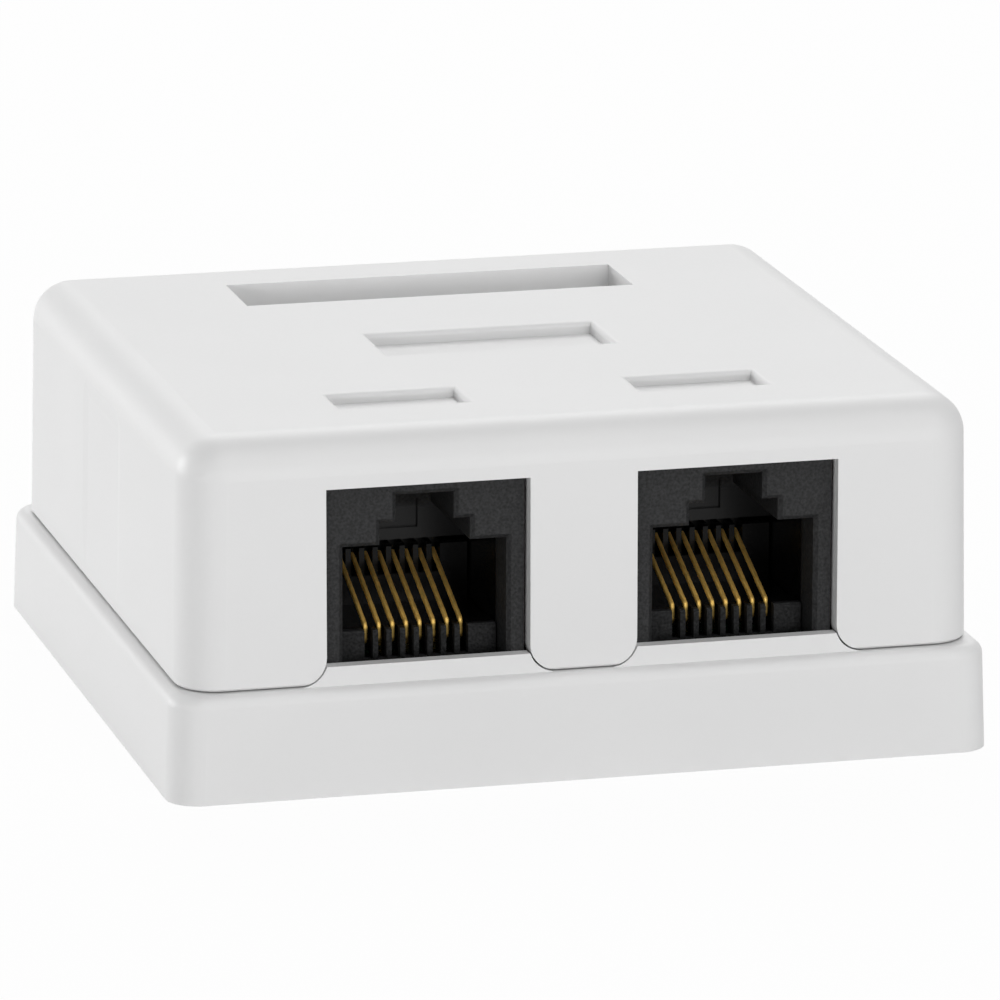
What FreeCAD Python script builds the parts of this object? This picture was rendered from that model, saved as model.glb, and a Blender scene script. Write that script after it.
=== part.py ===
import FreeCAD, Part
import math
import os
import Sketcher

# A surface mount jack box with two 8-position modular ports.
#
# A shallow base tray screws to a wall or stands on a desk. It carries a circuit board with two
# modular jacks at the front and two punch-down blocks behind them. A one-piece moulded cover
# drops onto the tray and lifts straight off.
#
# Frame: millimetres, origin at the middle of the tray's underside, +X to the right as seen from
# the ports, the ports face -Y, +Z up.

SIZES = {
    # tray
    "base_width": 61.6,
    "base_depth": 58.9,
    "base_draft": 1.8,
    "base_corner": 2.4,
    "rim_height": 7.9,
    "rim_round": 0.9,
    "floor_thickness": 2.0,
    "ledge_side": 1.1,
    "ledge_front": 1.3,
    "tongue_top": 9.35,
    "tongue_thickness": 1.0,
    "tongue_flare": 1.7,
    "post_radius": 2.7,
    "post_height": 4.7,
    "post_inset": 4.5,
    "post_front": 17.0,
    "post_rear": 6.2,
    "pin_radius": 1.0,
    "pin_rise": 0.8,
    "wall_screw_spacing": 38.0,
    "wall_screw_set": 18.6,
    "wall_screw_radius": 2.1,
    "cable_slot_length": 18.0,
    "cable_slot_width": 9.0,
    # cover
    "overall_height": 26.3,
    "cover_draft": 0.9,
    "cover_corner": 3.1,
    "cover_top_round": 3.0,
    "top_thickness": 2.0,
    "seat_width": 1.1,
    "lip_clearance": 0.1,
    "lip_thickness": 0.8,
    "lip_drop": 1.6,
    "seam_gap": 0.12,
    "seam_bevel": 0.15,
    "window_foot": 0.4,
    "inner_corner": 1.1,
    "ceiling_bevel": 1.0,
    "snap_length": 8.0,
    "snap_proud": 0.3,
    "snap_height": 0.8,
    "snap_spacing": 28.0,
    "rib_thickness": 1.2,
    "rib_drop": 1.1,
    "rib_length": 18.0,
    "rib_spacing": 37.0,
    # windows and the shallow recesses of the top
    "port_spacing": 23.1,
    "window_width": 15.1,
    "window_top": 22.4,
    "tab_round": 2.0,
    "label_width": 9.5,
    "label_depth": 4.3,
    "label_set": 17.7,
    "label_spacing": 22.6,
    "label_sink": 0.75,
    "title_width": 17.4,
    "title_depth": 6.9,
    "title_set": 1.2,
    "title_sink": 0.9,
    "recess_round": 0.4,
    # rear pocket of the top, with a catch slot in each end wall
    "pocket_width": 30.5,
    "pocket_depth": 7.2,
    "pocket_set": 17.05,
    "pocket_sink": 3.6,
    "pocket_wall": 1.4,
    "catch_length": 2.4,
    "catch_height": 1.4,
    "catch_set": 1.5,
    "catch_inset": 0.45,
    # thin breakout panel in each side wall
    "breakout_width": 11.8,
    "breakout_height": 13.5,
    "breakout_sink": 0.12,
    "breakout_slope": 1.2,
    "breakout_fade": 4.5,
    "breakout_wall": 1.0,
    # circuit board
    "board_thickness": 1.6,
    "board_gap": 0.3,
    "board_rear": 11.0,
    "hole_clearance": 0.12,
    # modular jack
    "jack_recess": 1.1,
    "jack_clearance": 0.2,
    "jack_depth": 15.6,
    "mouth_width": 12.75,
    "mouth_bevel": 0.3,
    "ceiling_height": 9.5,
    "latch_wide": 7.3,
    "latch_wide_rise": 1.65,
    "latch_narrow": 4.9,
    "latch_narrow_rise": 2.0,
    "plug_depth": 11.7,
    "rear_room": 2.9,
    "core_mark_width": 4.75,
    "core_mark_height": 2.2,
    "core_mark_set": 7.6,
    "core_mark_sink": 0.3,
    "peg_width": 1.1,
    "peg_length": 2.1,
    "peg_set": 9.0,
    # contact comb and contacts
    "contact_count": 8,
    "contact_pitch": 1.016,
    "contact_size": 0.3,
    "contact_bend": 0.35,
    "carrier_clearance": 0.15,
    "comb_set": 2.6,
    "comb_depth": 2.4,
    "comb_height": 2.5,
    "comb_slot": 0.62,
    "comb_floor": 0.35,
    "comb_bevel": 0.15,
    "carrier_floor": 2.2,
    "channel_height": 1.75,
    "bar_set": 10.9,
    "bar_depth": 3.4,
    "bar_height": 6.6,
    "bar_notch_depth": 1.6,
    "bar_notch_drop": 2.25,
    "riser_set": 3.7,
    "riser_height": 2.6,
    "run_height": 1.35,
    "tip_set": 12.0,
    "tip_height": 5.85,
    "tail_set": 7.6,
    "tail_stagger": 2.54,
    "tail_below": 0.9,
    # punch-down block and its blades
    "idc_width": 16.6,
    "idc_depth": 12.4,
    "idc_height": 10.6,
    "idc_gap": 1.2,
    "idc_trough": 4.4,
    "idc_trough_drop": 6.5,
    "idc_slot": 1.0,
    "idc_slot_drop": 5.2,
    "idc_per_row": 4,
    "idc_pitch": 3.9,
    "idc_bevel": 0.6,
    "blade_width": 2.7,
    "blade_thickness": 0.45,
    "blade_clearance": 0.08,
    "blade_rise": 0.9,
    "blade_top": 2.0,
    "blade_slit": 0.36,
    "blade_slit_drop": 3.8,
    "blade_lead": 0.6,
    "blade_lead_drop": 0.9,
    "blade_tail": 0.6,
    # board screws
    "screw_radius": 1.2,
    "screw_length": 4.5,
    "screw_head_radius": 2.3,
    "screw_head_height": 1.5,
    "screw_slot_length": 3.0,
    "screw_slot_width": 0.7,
    "screw_slot_depth": 0.7,
    # how far a cut starts outside the surface that it opens
    "cut_past": 1.0,
}


class Value:
    """A number together with the spreadsheet formula that it comes from."""

    def __init__(self, number, formula=None):
        self.number = float(number)
        self.formula = formula or repr(float(number))

    def __add__(self, other):
        other = as_value(other)
        return Value(self.number + other.number, "(%s + %s)" % (self.formula, other.formula))

    def __sub__(self, other):
        other = as_value(other)
        return Value(self.number - other.number, "(%s - %s)" % (self.formula, other.formula))

    def __mul__(self, other):
        other = as_value(other)
        return Value(self.number * other.number, "%s * %s" % (self.formula, other.formula))

    def __truediv__(self, other):
        other = as_value(other)
        return Value(self.number / other.number, "%s / %s" % (self.formula, other.formula))

    def __neg__(self):
        return Value(-self.number, "(0 - %s)" % self.formula)

    __radd__ = __add__
    __rmul__ = __mul__


def as_value(thing):
    return thing if isinstance(thing, Value) else Value(thing)


def lean(angle):
    """How far a drafted wall leans for each millimetre that it rises."""
    return Value(math.tan(math.radians(angle.number)), "tan(%s * 1 deg)" % angle.formula)


doc = FreeCAD.newDocument("jack_box")
sheet = doc.addObject("Spreadsheet::Sheet", "sizes")
for row, (word, number) in enumerate(SIZES.items(), start=1):
    sheet.set("A%d" % row, word.replace("_", " "))
    sheet.set("B%d" % row, str(number))
    sheet.setAlias("B%d" % row, word)
doc.recompute()


def size(word):
    """The driving dimension with this alias."""
    return Value(SIZES[word], "sizes." + word)


# ---------------------------------------------------------------- modelling helpers

def bind(thing, path, value):
    """Set a property of an object to a Value and tie it to the sheet."""
    value = as_value(value)
    thing.setExpression(path, value.formula)


def new_body(name, x=0.0, y=0.0):
    """An empty body, moved to x and y."""
    body = doc.addObject("PartDesign::Body", name)
    body.Label = name
    bind(body, "Placement.Base.x", x)
    bind(body, "Placement.Base.y", y)
    return body


def new_sketch(body, name, role, at=0.0):
    """A sketch on one of the body's origin planes, moved to the coordinate `at` on its normal axis."""
    sketch = body.newObject("Sketcher::SketchObject", body.Name + "_" + name)
    plane = [one for one in body.Origin.OriginFeatures if one.Role == role][0]
    sketch.AttachmentSupport = [(plane, "")]
    sketch.MapMode = "FlatFace"
    at = as_value(at)
    bind(sketch, "AttachmentOffset.Base.z", -at if role == "XZ_Plane" else at)
    return sketch


def fix_point(sketch, geometry, position, x, y):
    """Hold a point of the sketch at x and y from the sketch's origin."""
    for kind, value, axis in (("DistanceX", as_value(x), -2), ("DistanceY", as_value(y), -1)):
        if value.number == 0.0 and "sizes" not in value.formula:
            sketch.addConstraint(Sketcher.Constraint("PointOnObject", geometry, position, axis))
            continue
        index = sketch.addConstraint(Sketcher.Constraint(kind, -1, 1, geometry, position, value.number))
        bind(sketch, "Constraints[%d]" % index, value)


def draw(sketch, corners, closed=True):
    """Straight sides through the corners; a corner (x, y, radius) is rounded by a tangent arc."""
    count = len(corners)
    points = [FreeCAD.Vector(as_value(c[0]).number, as_value(c[1]).number, 0) for c in corners]
    rounded = [len(c) > 2 for c in corners]
    cut = []
    for i in range(count):
        if not rounded[i]:
            cut.append(0.0)
            continue
        back = points[i - 1] - points[i]
        ahead = points[(i + 1) % count] - points[i]
        cut.append(as_value(corners[i][2]).number / math.tan(back.getAngle(ahead) / 2))
    sides = []
    for i in range(count if closed else count - 1):
        start, end = points[i], points[(i + 1) % count]
        along = (end - start).normalize()
        line = Part.LineSegment(start + along * cut[i], end - along * cut[(i + 1) % count])
        sides.append(sketch.addGeometry(line, False))
    for i in range(count):
        if not closed and i == 0:
            fix_point(sketch, sides[0], 1, corners[0][0], corners[0][1])
        elif not closed and i == count - 1:
            fix_point(sketch, sides[-1], 2, corners[i][0], corners[i][1])
        elif rounded[i]:
            round_corner(sketch, sides[i - 1], sides[i], corners[i], points[i])
        else:
            sketch.addConstraint(Sketcher.Constraint("Coincident", sides[i - 1], 2, sides[i], 1))
            fix_point(sketch, sides[i], 1, corners[i][0], corners[i][1])


def round_corner(sketch, before, after, corner, point):
    """Join two sides by an arc; the sides' lines meet in a fixed construction point."""
    radius = as_value(corner[2])
    start = sketch.Geometry[before].EndPoint
    end = sketch.Geometry[after].StartPoint
    middle = (start + end) * 0.5
    reach = math.sqrt(radius.number ** 2 + (start - point).Length ** 2)
    centre = point + (middle - point).normalize() * reach
    left_turn = ((point - start).cross(end - point)).z > 0
    first, last = (start, end) if left_turn else (end, start)
    angles = [math.atan2(one.y - centre.y, one.x - centre.x) for one in (first, last)]
    circle = Part.Circle(centre, FreeCAD.Vector(0, 0, 1), radius.number)
    arc = sketch.addGeometry(Part.ArcOfCircle(circle, angles[0], angles[1]), False)
    ends = (1, 2) if left_turn else (2, 1)
    sketch.addConstraint(Sketcher.Constraint("Tangent", before, 2, arc, ends[0]))
    sketch.addConstraint(Sketcher.Constraint("Tangent", arc, ends[1], after, 1))
    index = sketch.addConstraint(Sketcher.Constraint("Radius", arc, radius.number))
    bind(sketch, "Constraints[%d]" % index, radius)
    mark = sketch.addGeometry(Part.Point(point), True)
    sketch.addConstraint(Sketcher.Constraint("PointOnObject", mark, 1, before))
    sketch.addConstraint(Sketcher.Constraint("PointOnObject", mark, 1, after))
    fix_point(sketch, mark, 1, corner[0], corner[1])


def draw_circle(sketch, x, y, radius):
    centre = FreeCAD.Vector(as_value(x).number, as_value(y).number, 0)
    ring = sketch.addGeometry(Part.Circle(centre, FreeCAD.Vector(0, 0, 1), radius.number), False)
    index = sketch.addConstraint(Sketcher.Constraint("Radius", ring, radius.number))
    bind(sketch, "Constraints[%d]" % index, radius)
    fix_point(sketch, ring, 3, x, y)


def box_corners(left, right, low, high, radius=None):
    """Corners of an upright rectangle, all rounded alike when a radius is given."""
    corners = [(left, low), (right, low), (right, high), (left, high)]
    return [corner + (radius,) for corner in corners] if radius is not None else corners


def middle_box(width, depth, x=0.0, y=0.0, radius=None):
    """Corners of a rectangle about the point x, y."""
    x = as_value(x)
    y = as_value(y)
    return box_corners(x - width / 2, x + width / 2, y - depth / 2, y + depth / 2, radius)


def side_box(side, inner, outer, low, high):
    """Corners of a rectangle between two distances from the middle plane, on the side -1 or 1."""
    left, right = sorted((inner * side, outer * side), key=lambda value: value.number)
    return box_corners(left, right, low, high)


def extrude(kind, sketch, length, other_way=False):
    """Pad or Pocket the sketch by a length; other_way turns it against its usual direction."""
    body = sketch.getParentGeoFeatureGroup()
    feature = body.newObject("PartDesign::" + kind, sketch.Name + "_" + kind.lower())
    feature.Profile = sketch
    feature.Reversed = other_way
    bind(feature, "Length", length)
    doc.recompute()
    return feature


def pad(sketch, length, other_way=False):
    return extrude("Pad", sketch, length, other_way)


def pocket(sketch, length, other_way=False):
    """A pocket that has to take material away."""
    body = sketch.getParentGeoFeatureGroup()
    before = body.Shape.Volume
    feature = extrude("Pocket", sketch, length, other_way)
    if not body.Shape.Volume < before - 1e-6:
        raise RuntimeError(feature.Name + " cuts nothing")
    return feature


def finish_edges(kind, body, name, radius, test):
    """Fillet or Chamfer the edges of the body's last feature that pass the test."""
    base = body.Tip
    names = ["Edge%d" % i for i, edge in enumerate(base.Shape.Edges, start=1) if test(edge)]
    if not names:
        raise RuntimeError("no edge found for " + name)
    feature = body.newObject("PartDesign::" + kind, body.Name + "_" + name)
    feature.Base = (base, names)
    bind(feature, "Radius" if kind == "Fillet" else "Size", radius)
    doc.recompute()
    return feature


def draft_walls(body, name, angle, foot, test, narrows=True):
    """Lean the upright faces that pass the test about the flat face at the height `foot`.

    The solid narrows upwards, or a hollow does where narrows is False.
    """
    base = body.Tip
    walls = []
    flats = []
    for i, face in enumerate(base.Shape.Faces, start=1):
        box = face.BoundBox
        if near(box.ZMin, foot) and near(box.ZMax, foot):
            flats.append("Face%d" % i)
        elif box.ZLength > 1e-4 and test(box):
            walls.append("Face%d" % i)
    feature = body.newObject("PartDesign::Draft", body.Name + "_" + name)
    feature.Base = (base, walls)
    feature.NeutralPlane = (base, flats[:1])
    feature.Reversed = not narrows
    bind(feature, "Angle", angle)
    doc.recompute()
    return feature


def repeat_along_x(body, feature, name, count, pitch):
    """Repeat a feature at the pitch, towards +X."""
    pattern = body.newObject("PartDesign::LinearPattern", body.Name + "_" + name)
    axis = [one for one in body.Origin.OriginFeatures if one.Role == "X_Axis"][0]
    pattern.Originals = [feature]
    pattern.Direction = (axis, [""])
    bind(pattern, "Occurrences", count)
    bind(pattern, "Length", pitch * (count - 1))
    body.Tip = pattern
    doc.recompute()
    return pattern


def near(first, second):
    return abs(first - as_value(second).number) < 1e-4


def upright(edge, least):
    """Whether an edge rises by at least this much."""
    return edge.BoundBox.ZLength > least


def level(edge, z):
    """Whether an edge lies flat at this height."""
    return near(edge.BoundBox.ZMin, z) and near(edge.BoundBox.ZMax, z)


def within(edge, corners):
    """Whether an edge lies inside the rectangle with these corners, seen from above."""
    box = edge.BoundBox
    slack = 1e-3
    (left, front), (right, back) = [[value.number for value in corners[i]] for i in (0, 2)]
    inside_x = box.XMin > left - slack and box.XMax < right + slack
    inside_y = box.YMin > front - slack and box.YMax < back + slack
    return inside_x and inside_y


# ---------------------------------------------------------------- places worked out from the sizes

past = size("cut_past")

# The cover's outer wall stands on the tray's rim; its thin inner lip drops inside the rim.
cover_width = size("base_width") - 2 * size("ledge_side")
cover_depth = size("base_depth") - 2 * size("ledge_front")
cover_front = -cover_depth / 2
seam = size("rim_height") + size("seam_gap")
cavity_width = cover_width - 2 * size("seat_width")
cavity_depth = cover_depth - 2 * size("seat_width")
cavity_corner = size("cover_corner") - size("seat_width")
lip_width = cavity_width - 2 * size("lip_clearance")
lip_depth = cavity_depth - 2 * size("lip_clearance")
room_width = lip_width - 2 * size("lip_thickness")
room_depth = lip_depth - 2 * size("lip_thickness")
lip_bottom = size("rim_height") - size("lip_drop")
cover_height = size("overall_height") - seam
ceiling = size("overall_height") - size("top_thickness")

port_x = size("port_spacing") / 2
half_window = size("window_width") / 2
sides = (("left", -1), ("right", 1))

# The board lies on the tray's posts, the jacks and the punch-down blocks stand on the board.
board_bottom = size("floor_thickness") + size("post_height")
board_top = board_bottom + size("board_thickness")
post_x = room_width / 2 - size("post_inset")
jack_face = cover_front + size("jack_recess")
jack_top = size("window_top") - size("jack_clearance")
jack_width = size("window_width") - 2 * size("jack_clearance")
plug_width = size("mouth_width") - 2 * size("mouth_bevel")
plug_ceiling = board_top + size("ceiling_height")
carrier_width = plug_width - 2 * size("carrier_clearance")
first_contact = size("contact_pitch") * (size("contact_count") - 1) / -2.0
first_idc = size("idc_pitch") * (size("idc_per_row") - 1) / -2.0
idc_middle = jack_face + size("jack_depth") + size("idc_gap") + size("idc_depth") / 2
idc_row = (size("idc_trough") + size("idc_depth")) / 4
peg_x = (jack_width + plug_width) / 4


def contact_x(index):
    """Where contact `index`, counted from the left, stands from the jack's middle."""
    return first_contact + size("contact_pitch") * index


def tail_y(index):
    """The contacts' tails enter the board in two staggered rows."""
    return jack_face + size("tail_set") + size("tail_stagger") * (index % 2)


def blade_place(index):
    """Blade `index` from its block's middle: the front row first, each row from the left."""
    per_row = SIZES["idc_per_row"]
    row = -1 if index < per_row else 1
    return first_idc + size("idc_pitch") * (index % per_row), idc_row * row


# ---------------------------------------------------------------- tray

def base_tray():
    """Open tray: drafted outer wall, floor, board posts and a flared tongue below each port."""
    body = new_body("base_tray")
    rim = size("rim_height")
    floor = size("floor_thickness")

    foot = new_sketch(body, "foot", "XY_Plane")
    draw(foot, middle_box(size("base_width"), size("base_depth")))
    pad(foot, rim)
    draft_walls(body, "draft", size("base_draft"), 0.0, lambda box: True)
    finish_edges("Fillet", body, "corners", size("base_corner"), lambda e: upright(e, rim.number / 2))
    finish_edges("Fillet", body, "rim", size("rim_round"), lambda e: level(e, rim))

    cavity = new_sketch(body, "cavity", "XY_Plane", rim)
    draw(cavity, middle_box(cavity_width, cavity_depth, radius=cavity_corner))
    pocket(cavity, rim - floor)

    # each tongue stands on the front wall, in line with the cover's front
    tongues = new_sketch(body, "tongues", "XZ_Plane", cover_front)
    reach = half_window + size("tongue_flare")
    root = rim - size("seat_width")
    for _, side in sides:
        draw(tongues, box_corners(port_x * side - reach, port_x * side + reach, root, size("tongue_top")))
    pad(tongues, size("tongue_thickness"), other_way=True)

    # the flares follow the rounded lower corners of the cover's windows, a seam's width away
    flares = new_sketch(body, "flares", "XZ_Plane", cover_front)
    for _, side in sides:
        for end in (-1, 1):
            middle = port_x * side + (half_window + size("tab_round")) * end
            draw_circle(flares, middle, seam + size("tab_round"), size("tab_round") + size("seam_gap"))
    pocket(flares, size("tongue_thickness"))

    posts = new_sketch(body, "posts", "XY_Plane", floor)
    pins = new_sketch(body, "pins", "XY_Plane", board_bottom)
    pilots = new_sketch(body, "pilots", "XY_Plane", board_bottom)
    for _, side in sides:
        draw_circle(posts, post_x * side, -size("post_front"), size("post_radius"))
        draw_circle(posts, post_x * side, size("post_rear"), size("post_radius"))
        draw_circle(pins, post_x * side, -size("post_front"), size("pin_radius"))
        pilot_radius = size("screw_radius") + size("hole_clearance") / 2
        draw_circle(pilots, post_x * side, size("post_rear"), pilot_radius)
    pad(posts, size("post_height"))
    pad(pins, size("board_thickness") + size("pin_rise"))
    pocket(pilots, size("post_height"))

    screws = new_sketch(body, "wall_screws", "XY_Plane", floor)
    for _, side in sides:
        screw_x = size("wall_screw_spacing") / 2 * side
        draw_circle(screws, screw_x, size("wall_screw_set"), size("wall_screw_radius"))
    pocket(screws, floor)

    # the slot's corners each take a third of its width
    slot = new_sketch(body, "cable_slot", "XY_Plane", floor)
    draw(slot, middle_box(size("cable_slot_length"), size("cable_slot_width"), 0.0,
                          size("wall_screw_set"), size("cable_slot_width") / 3))
    pocket(slot, floor)

    # room for the cover's snap beads, open to the top so that the cover lifts straight out
    channels = new_sketch(body, "snap_channels", "XY_Plane", rim)
    for _, side in sides:
        for end in (-1, 1):
            wall = cavity_width / 2
            depth = size("snap_proud") + size("lip_clearance")
            half = size("snap_length") / 2 + size("lip_clearance")
            y = size("snap_spacing") / 2 * end
            draw(channels, side_box(side, wall - past, wall + depth, y - half, y + half))
    pocket(channels, size("lip_drop") + size("lip_clearance"))
    return body


# ---------------------------------------------------------------- cover

def cover():
    """One-piece lid: drafted shell with a locating lip, port windows, recesses and a rear pocket."""
    body = new_body("cover")
    height = size("overall_height")
    draft = size("cover_draft")

    outline = new_sketch(body, "outline", "XY_Plane", seam)
    draw(outline, middle_box(cover_width, cover_depth))
    pad(outline, cover_height)
    draft_walls(body, "draft", draft, seam, lambda box: True)
    tall = cover_height.number / 2
    finish_edges("Fillet", body, "corners", size("cover_corner"), lambda e: upright(e, tall))
    finish_edges("Fillet", body, "top_edge", size("cover_top_round"), lambda e: level(e, height))
    finish_edges("Chamfer", body, "seam_edge", size("seam_bevel"), lambda e: level(e, seam))

    room = new_sketch(body, "room", "XY_Plane", seam)
    draw(room, middle_box(room_width, room_depth))
    pocket(room, ceiling - seam, other_way=True)
    draft_walls(body, "room_draft", draft, seam, lambda box: near(box.ZMax, ceiling), narrows=False)
    finish_edges("Fillet", body, "room_corners", size("inner_corner"),
                 lambda e: upright(e, tall) and near(e.BoundBox.ZMax, ceiling))
    finish_edges("Chamfer", body, "ceiling_edge", size("ceiling_bevel"), lambda e: level(e, ceiling))

    lip = new_sketch(body, "lip", "XY_Plane", seam)
    draw(lip, middle_box(lip_width, lip_depth, radius=size("inner_corner") + size("lip_thickness")))
    draw(lip, middle_box(room_width, room_depth, radius=size("inner_corner")))
    pad(lip, seam - lip_bottom, other_way=True)

    # rear pocket: a well with its own walls, hung from the top, cut from above
    pocket_floor = height - size("pocket_sink")
    well = new_sketch(body, "well", "XY_Plane", pocket_floor - size("pocket_wall"))
    well_width = size("pocket_width") + 2 * size("pocket_wall")
    well_depth = size("pocket_depth") + 2 * size("pocket_wall")
    draw(well, middle_box(well_width, well_depth, 0.0, size("pocket_set")))
    pad(well, size("pocket_sink"))
    opening = new_sketch(body, "pocket", "XY_Plane", height)
    draw(opening, middle_box(size("pocket_width"), size("pocket_depth"), 0.0, size("pocket_set")))
    pocket(opening, size("pocket_sink"))
    catches = new_sketch(body, "catches", "YZ_Plane", -size("pocket_width") / 2 - size("pocket_wall"))
    catch_back = size("pocket_set") + size("pocket_depth") / 2 - size("catch_inset")
    catch_top = height - size("catch_set")
    draw(catches, box_corners(catch_back - size("catch_length"), catch_back,
                              catch_top - size("catch_height"), catch_top))
    pocket(catches, size("pocket_width") + 2 * size("pocket_wall"), other_way=True)

    # port windows: straight sides that flare at the seam, and a wider gap in the lip below
    windows = new_sketch(body, "windows", "XZ_Plane", cover_front - past)
    low = lip_bottom - past
    for _, side in sides:
        x = port_x * side
        foot = half_window + size("tab_round") + size("window_foot")
        draw(windows, [
            (x - foot, low),
            (x + foot, low),
            (x + foot, seam),
            (x + half_window, seam, size("tab_round")),
            (x + half_window, size("window_top")),
            (x - half_window, size("window_top")),
            (x - half_window, seam, size("tab_round")),
            (x - foot, seam),
        ])
    wall = size("seat_width") + size("lip_clearance") + size("lip_thickness")
    pocket(windows, wall + 2 * past)

    # shallow recesses for labels: a title in the middle and one over each port
    title = middle_box(size("title_width"), size("title_depth"), 0.0, -size("title_set"))
    labels = [middle_box(size("label_width"), size("label_depth"), size("label_spacing") / 2 * side,
                         -size("label_set")) for _, side in sides]
    title_sketch = new_sketch(body, "title_recess", "XY_Plane", height)
    draw(title_sketch, title)
    pocket(title_sketch, size("title_sink"))
    label_sketch = new_sketch(body, "label_recesses", "XY_Plane", height)
    for label in labels:
        draw(label_sketch, label)
    pocket(label_sketch, size("label_sink"))
    finish_edges("Fillet", body, "recess_edges", size("recess_round"), lambda e: level(e, height)
                 and any(within(e, outline) for outline in [title] + labels))

    # side breakouts: thinned from inside, with a shallow sunk band outside that follows the draft
    thin = new_sketch(body, "thin_panels", "XY_Plane", seam)
    half = size("breakout_width") / 2
    for _, side in sides:
        draw(thin, side_box(side, cover_width / 2 - wall - past,
                            cover_width / 2 - size("breakout_wall"), -half, half))
    pocket(thin, size("breakout_height"), other_way=True)
    slope = size("breakout_slope") / 2
    head = cover_height - size("cover_top_round")
    levels = (("foot", as_value(0.0), as_value(0.0)),
              ("low", size("breakout_fade"), size("breakout_sink")),
              ("high", head - size("breakout_slope"), size("breakout_sink")),
              ("head", head, as_value(0.0)))
    for side_name, side in sides:
        sections = []
        for level_name, rise, sink in levels:
            surface = cover_width / 2 - rise * lean(draft)
            sunk = (surface - sink) * side
            clear = (surface + size("breakout_sink")) * side
            section = new_sketch(body, "band_%s_%s" % (side_name, level_name), "XY_Plane", seam + rise)
            draw(section, [
                (clear, -half - slope * 3),
                (sunk, -half + slope),
                (sunk, half - slope),
                (clear, half + slope * 3),
            ])
            sections.append(section)
        band = body.newObject("PartDesign::SubtractiveLoft", "cover_band_" + side_name)
        band.Profile = sections[0]
        band.Sections = sections[1:]
        band.Ruled = True
        doc.recompute()

    beads = new_sketch(body, "snap_beads", "XY_Plane", lip_bottom + size("lip_clearance"))
    for _, side in sides:
        for end in (-1, 1):
            root = lip_width / 2 - size("lip_thickness") / 2
            crest = lip_width / 2 + size("snap_proud")
            half = size("snap_length") / 2
            y = size("snap_spacing") / 2 * end
            draw(beads, side_box(side, root, crest, y - half, y + half))
    pad(beads, size("snap_height"))

    ribs = new_sketch(body, "ribs", "XY_Plane", ceiling)
    for _, side in sides:
        x = size("rib_spacing") / 2 * side
        draw(ribs, middle_box(size("rib_thickness"), size("rib_length"), x, 0.0))
    pad(ribs, size("rib_drop"), other_way=True)
    return body


# ---------------------------------------------------------------- circuit board

def circuit_board():
    """Flat board on the tray's posts, with holes for pins, screws, pegs and every soldered tail."""
    body = new_body("circuit_board")
    front = -room_depth / 2 + size("board_gap")
    half = room_width / 2 - size("board_gap")
    plate = new_sketch(body, "plate", "XY_Plane", board_bottom)
    draw(plate, box_corners(-half, half, front, size("board_rear"), size("inner_corner")))
    pad(plate, size("board_thickness"))

    gap = size("hole_clearance")
    holes = new_sketch(body, "holes", "XY_Plane", board_top)
    peg_y = jack_face + size("peg_set")
    for _, side in sides:
        draw_circle(holes, post_x * side, -size("post_front"), size("pin_radius") + gap)
        draw_circle(holes, post_x * side, size("post_rear"), size("screw_radius") + gap)
        for end in (-1, 1):
            hole = size("peg_width") + 2 * gap
            draw(holes, middle_box(hole, hole, port_x * side + peg_x * end, peg_y))
    pocket(holes, size("board_thickness"))

    # square holes for the soldered tails, row by row: the wires' tails take turns between two rows
    wire_hole = (size("contact_size") + 2 * gap, size("contact_size") + 2 * gap)
    blade_hole = (size("blade_tail") + 2 * gap, size("blade_thickness") + 2 * gap)
    for name, side in sides:
        for row in (0, 1):
            count = (SIZES["contact_count"] + 1 - row) // 2
            tail_row(body, "wire_tails_%s_%d" % (name, row + 1), wire_hole,
                     (port_x * side + contact_x(row), tail_y(row)), count, 2 * size("contact_pitch"))
            x, y = blade_place(SIZES["idc_per_row"] * row)
            tail_row(body, "blade_tails_%s_%d" % (name, row + 1), blade_hole,
                     (port_x * side + x, idc_middle + y), SIZES["idc_per_row"], size("idc_pitch"))
    return body


def tail_row(body, name, hole, first, count, pitch):
    """A row of equal holes through the board, from the first one's middle towards +X."""
    sketch = new_sketch(body, name, "XY_Plane", board_top)
    draw(sketch, middle_box(hole[0], hole[1], first[0], first[1]))
    cut = pocket(sketch, size("board_thickness"))
    repeat_along_x(body, cut, name + "_row", count, pitch)


# ---------------------------------------------------------------- modular jacks

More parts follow.
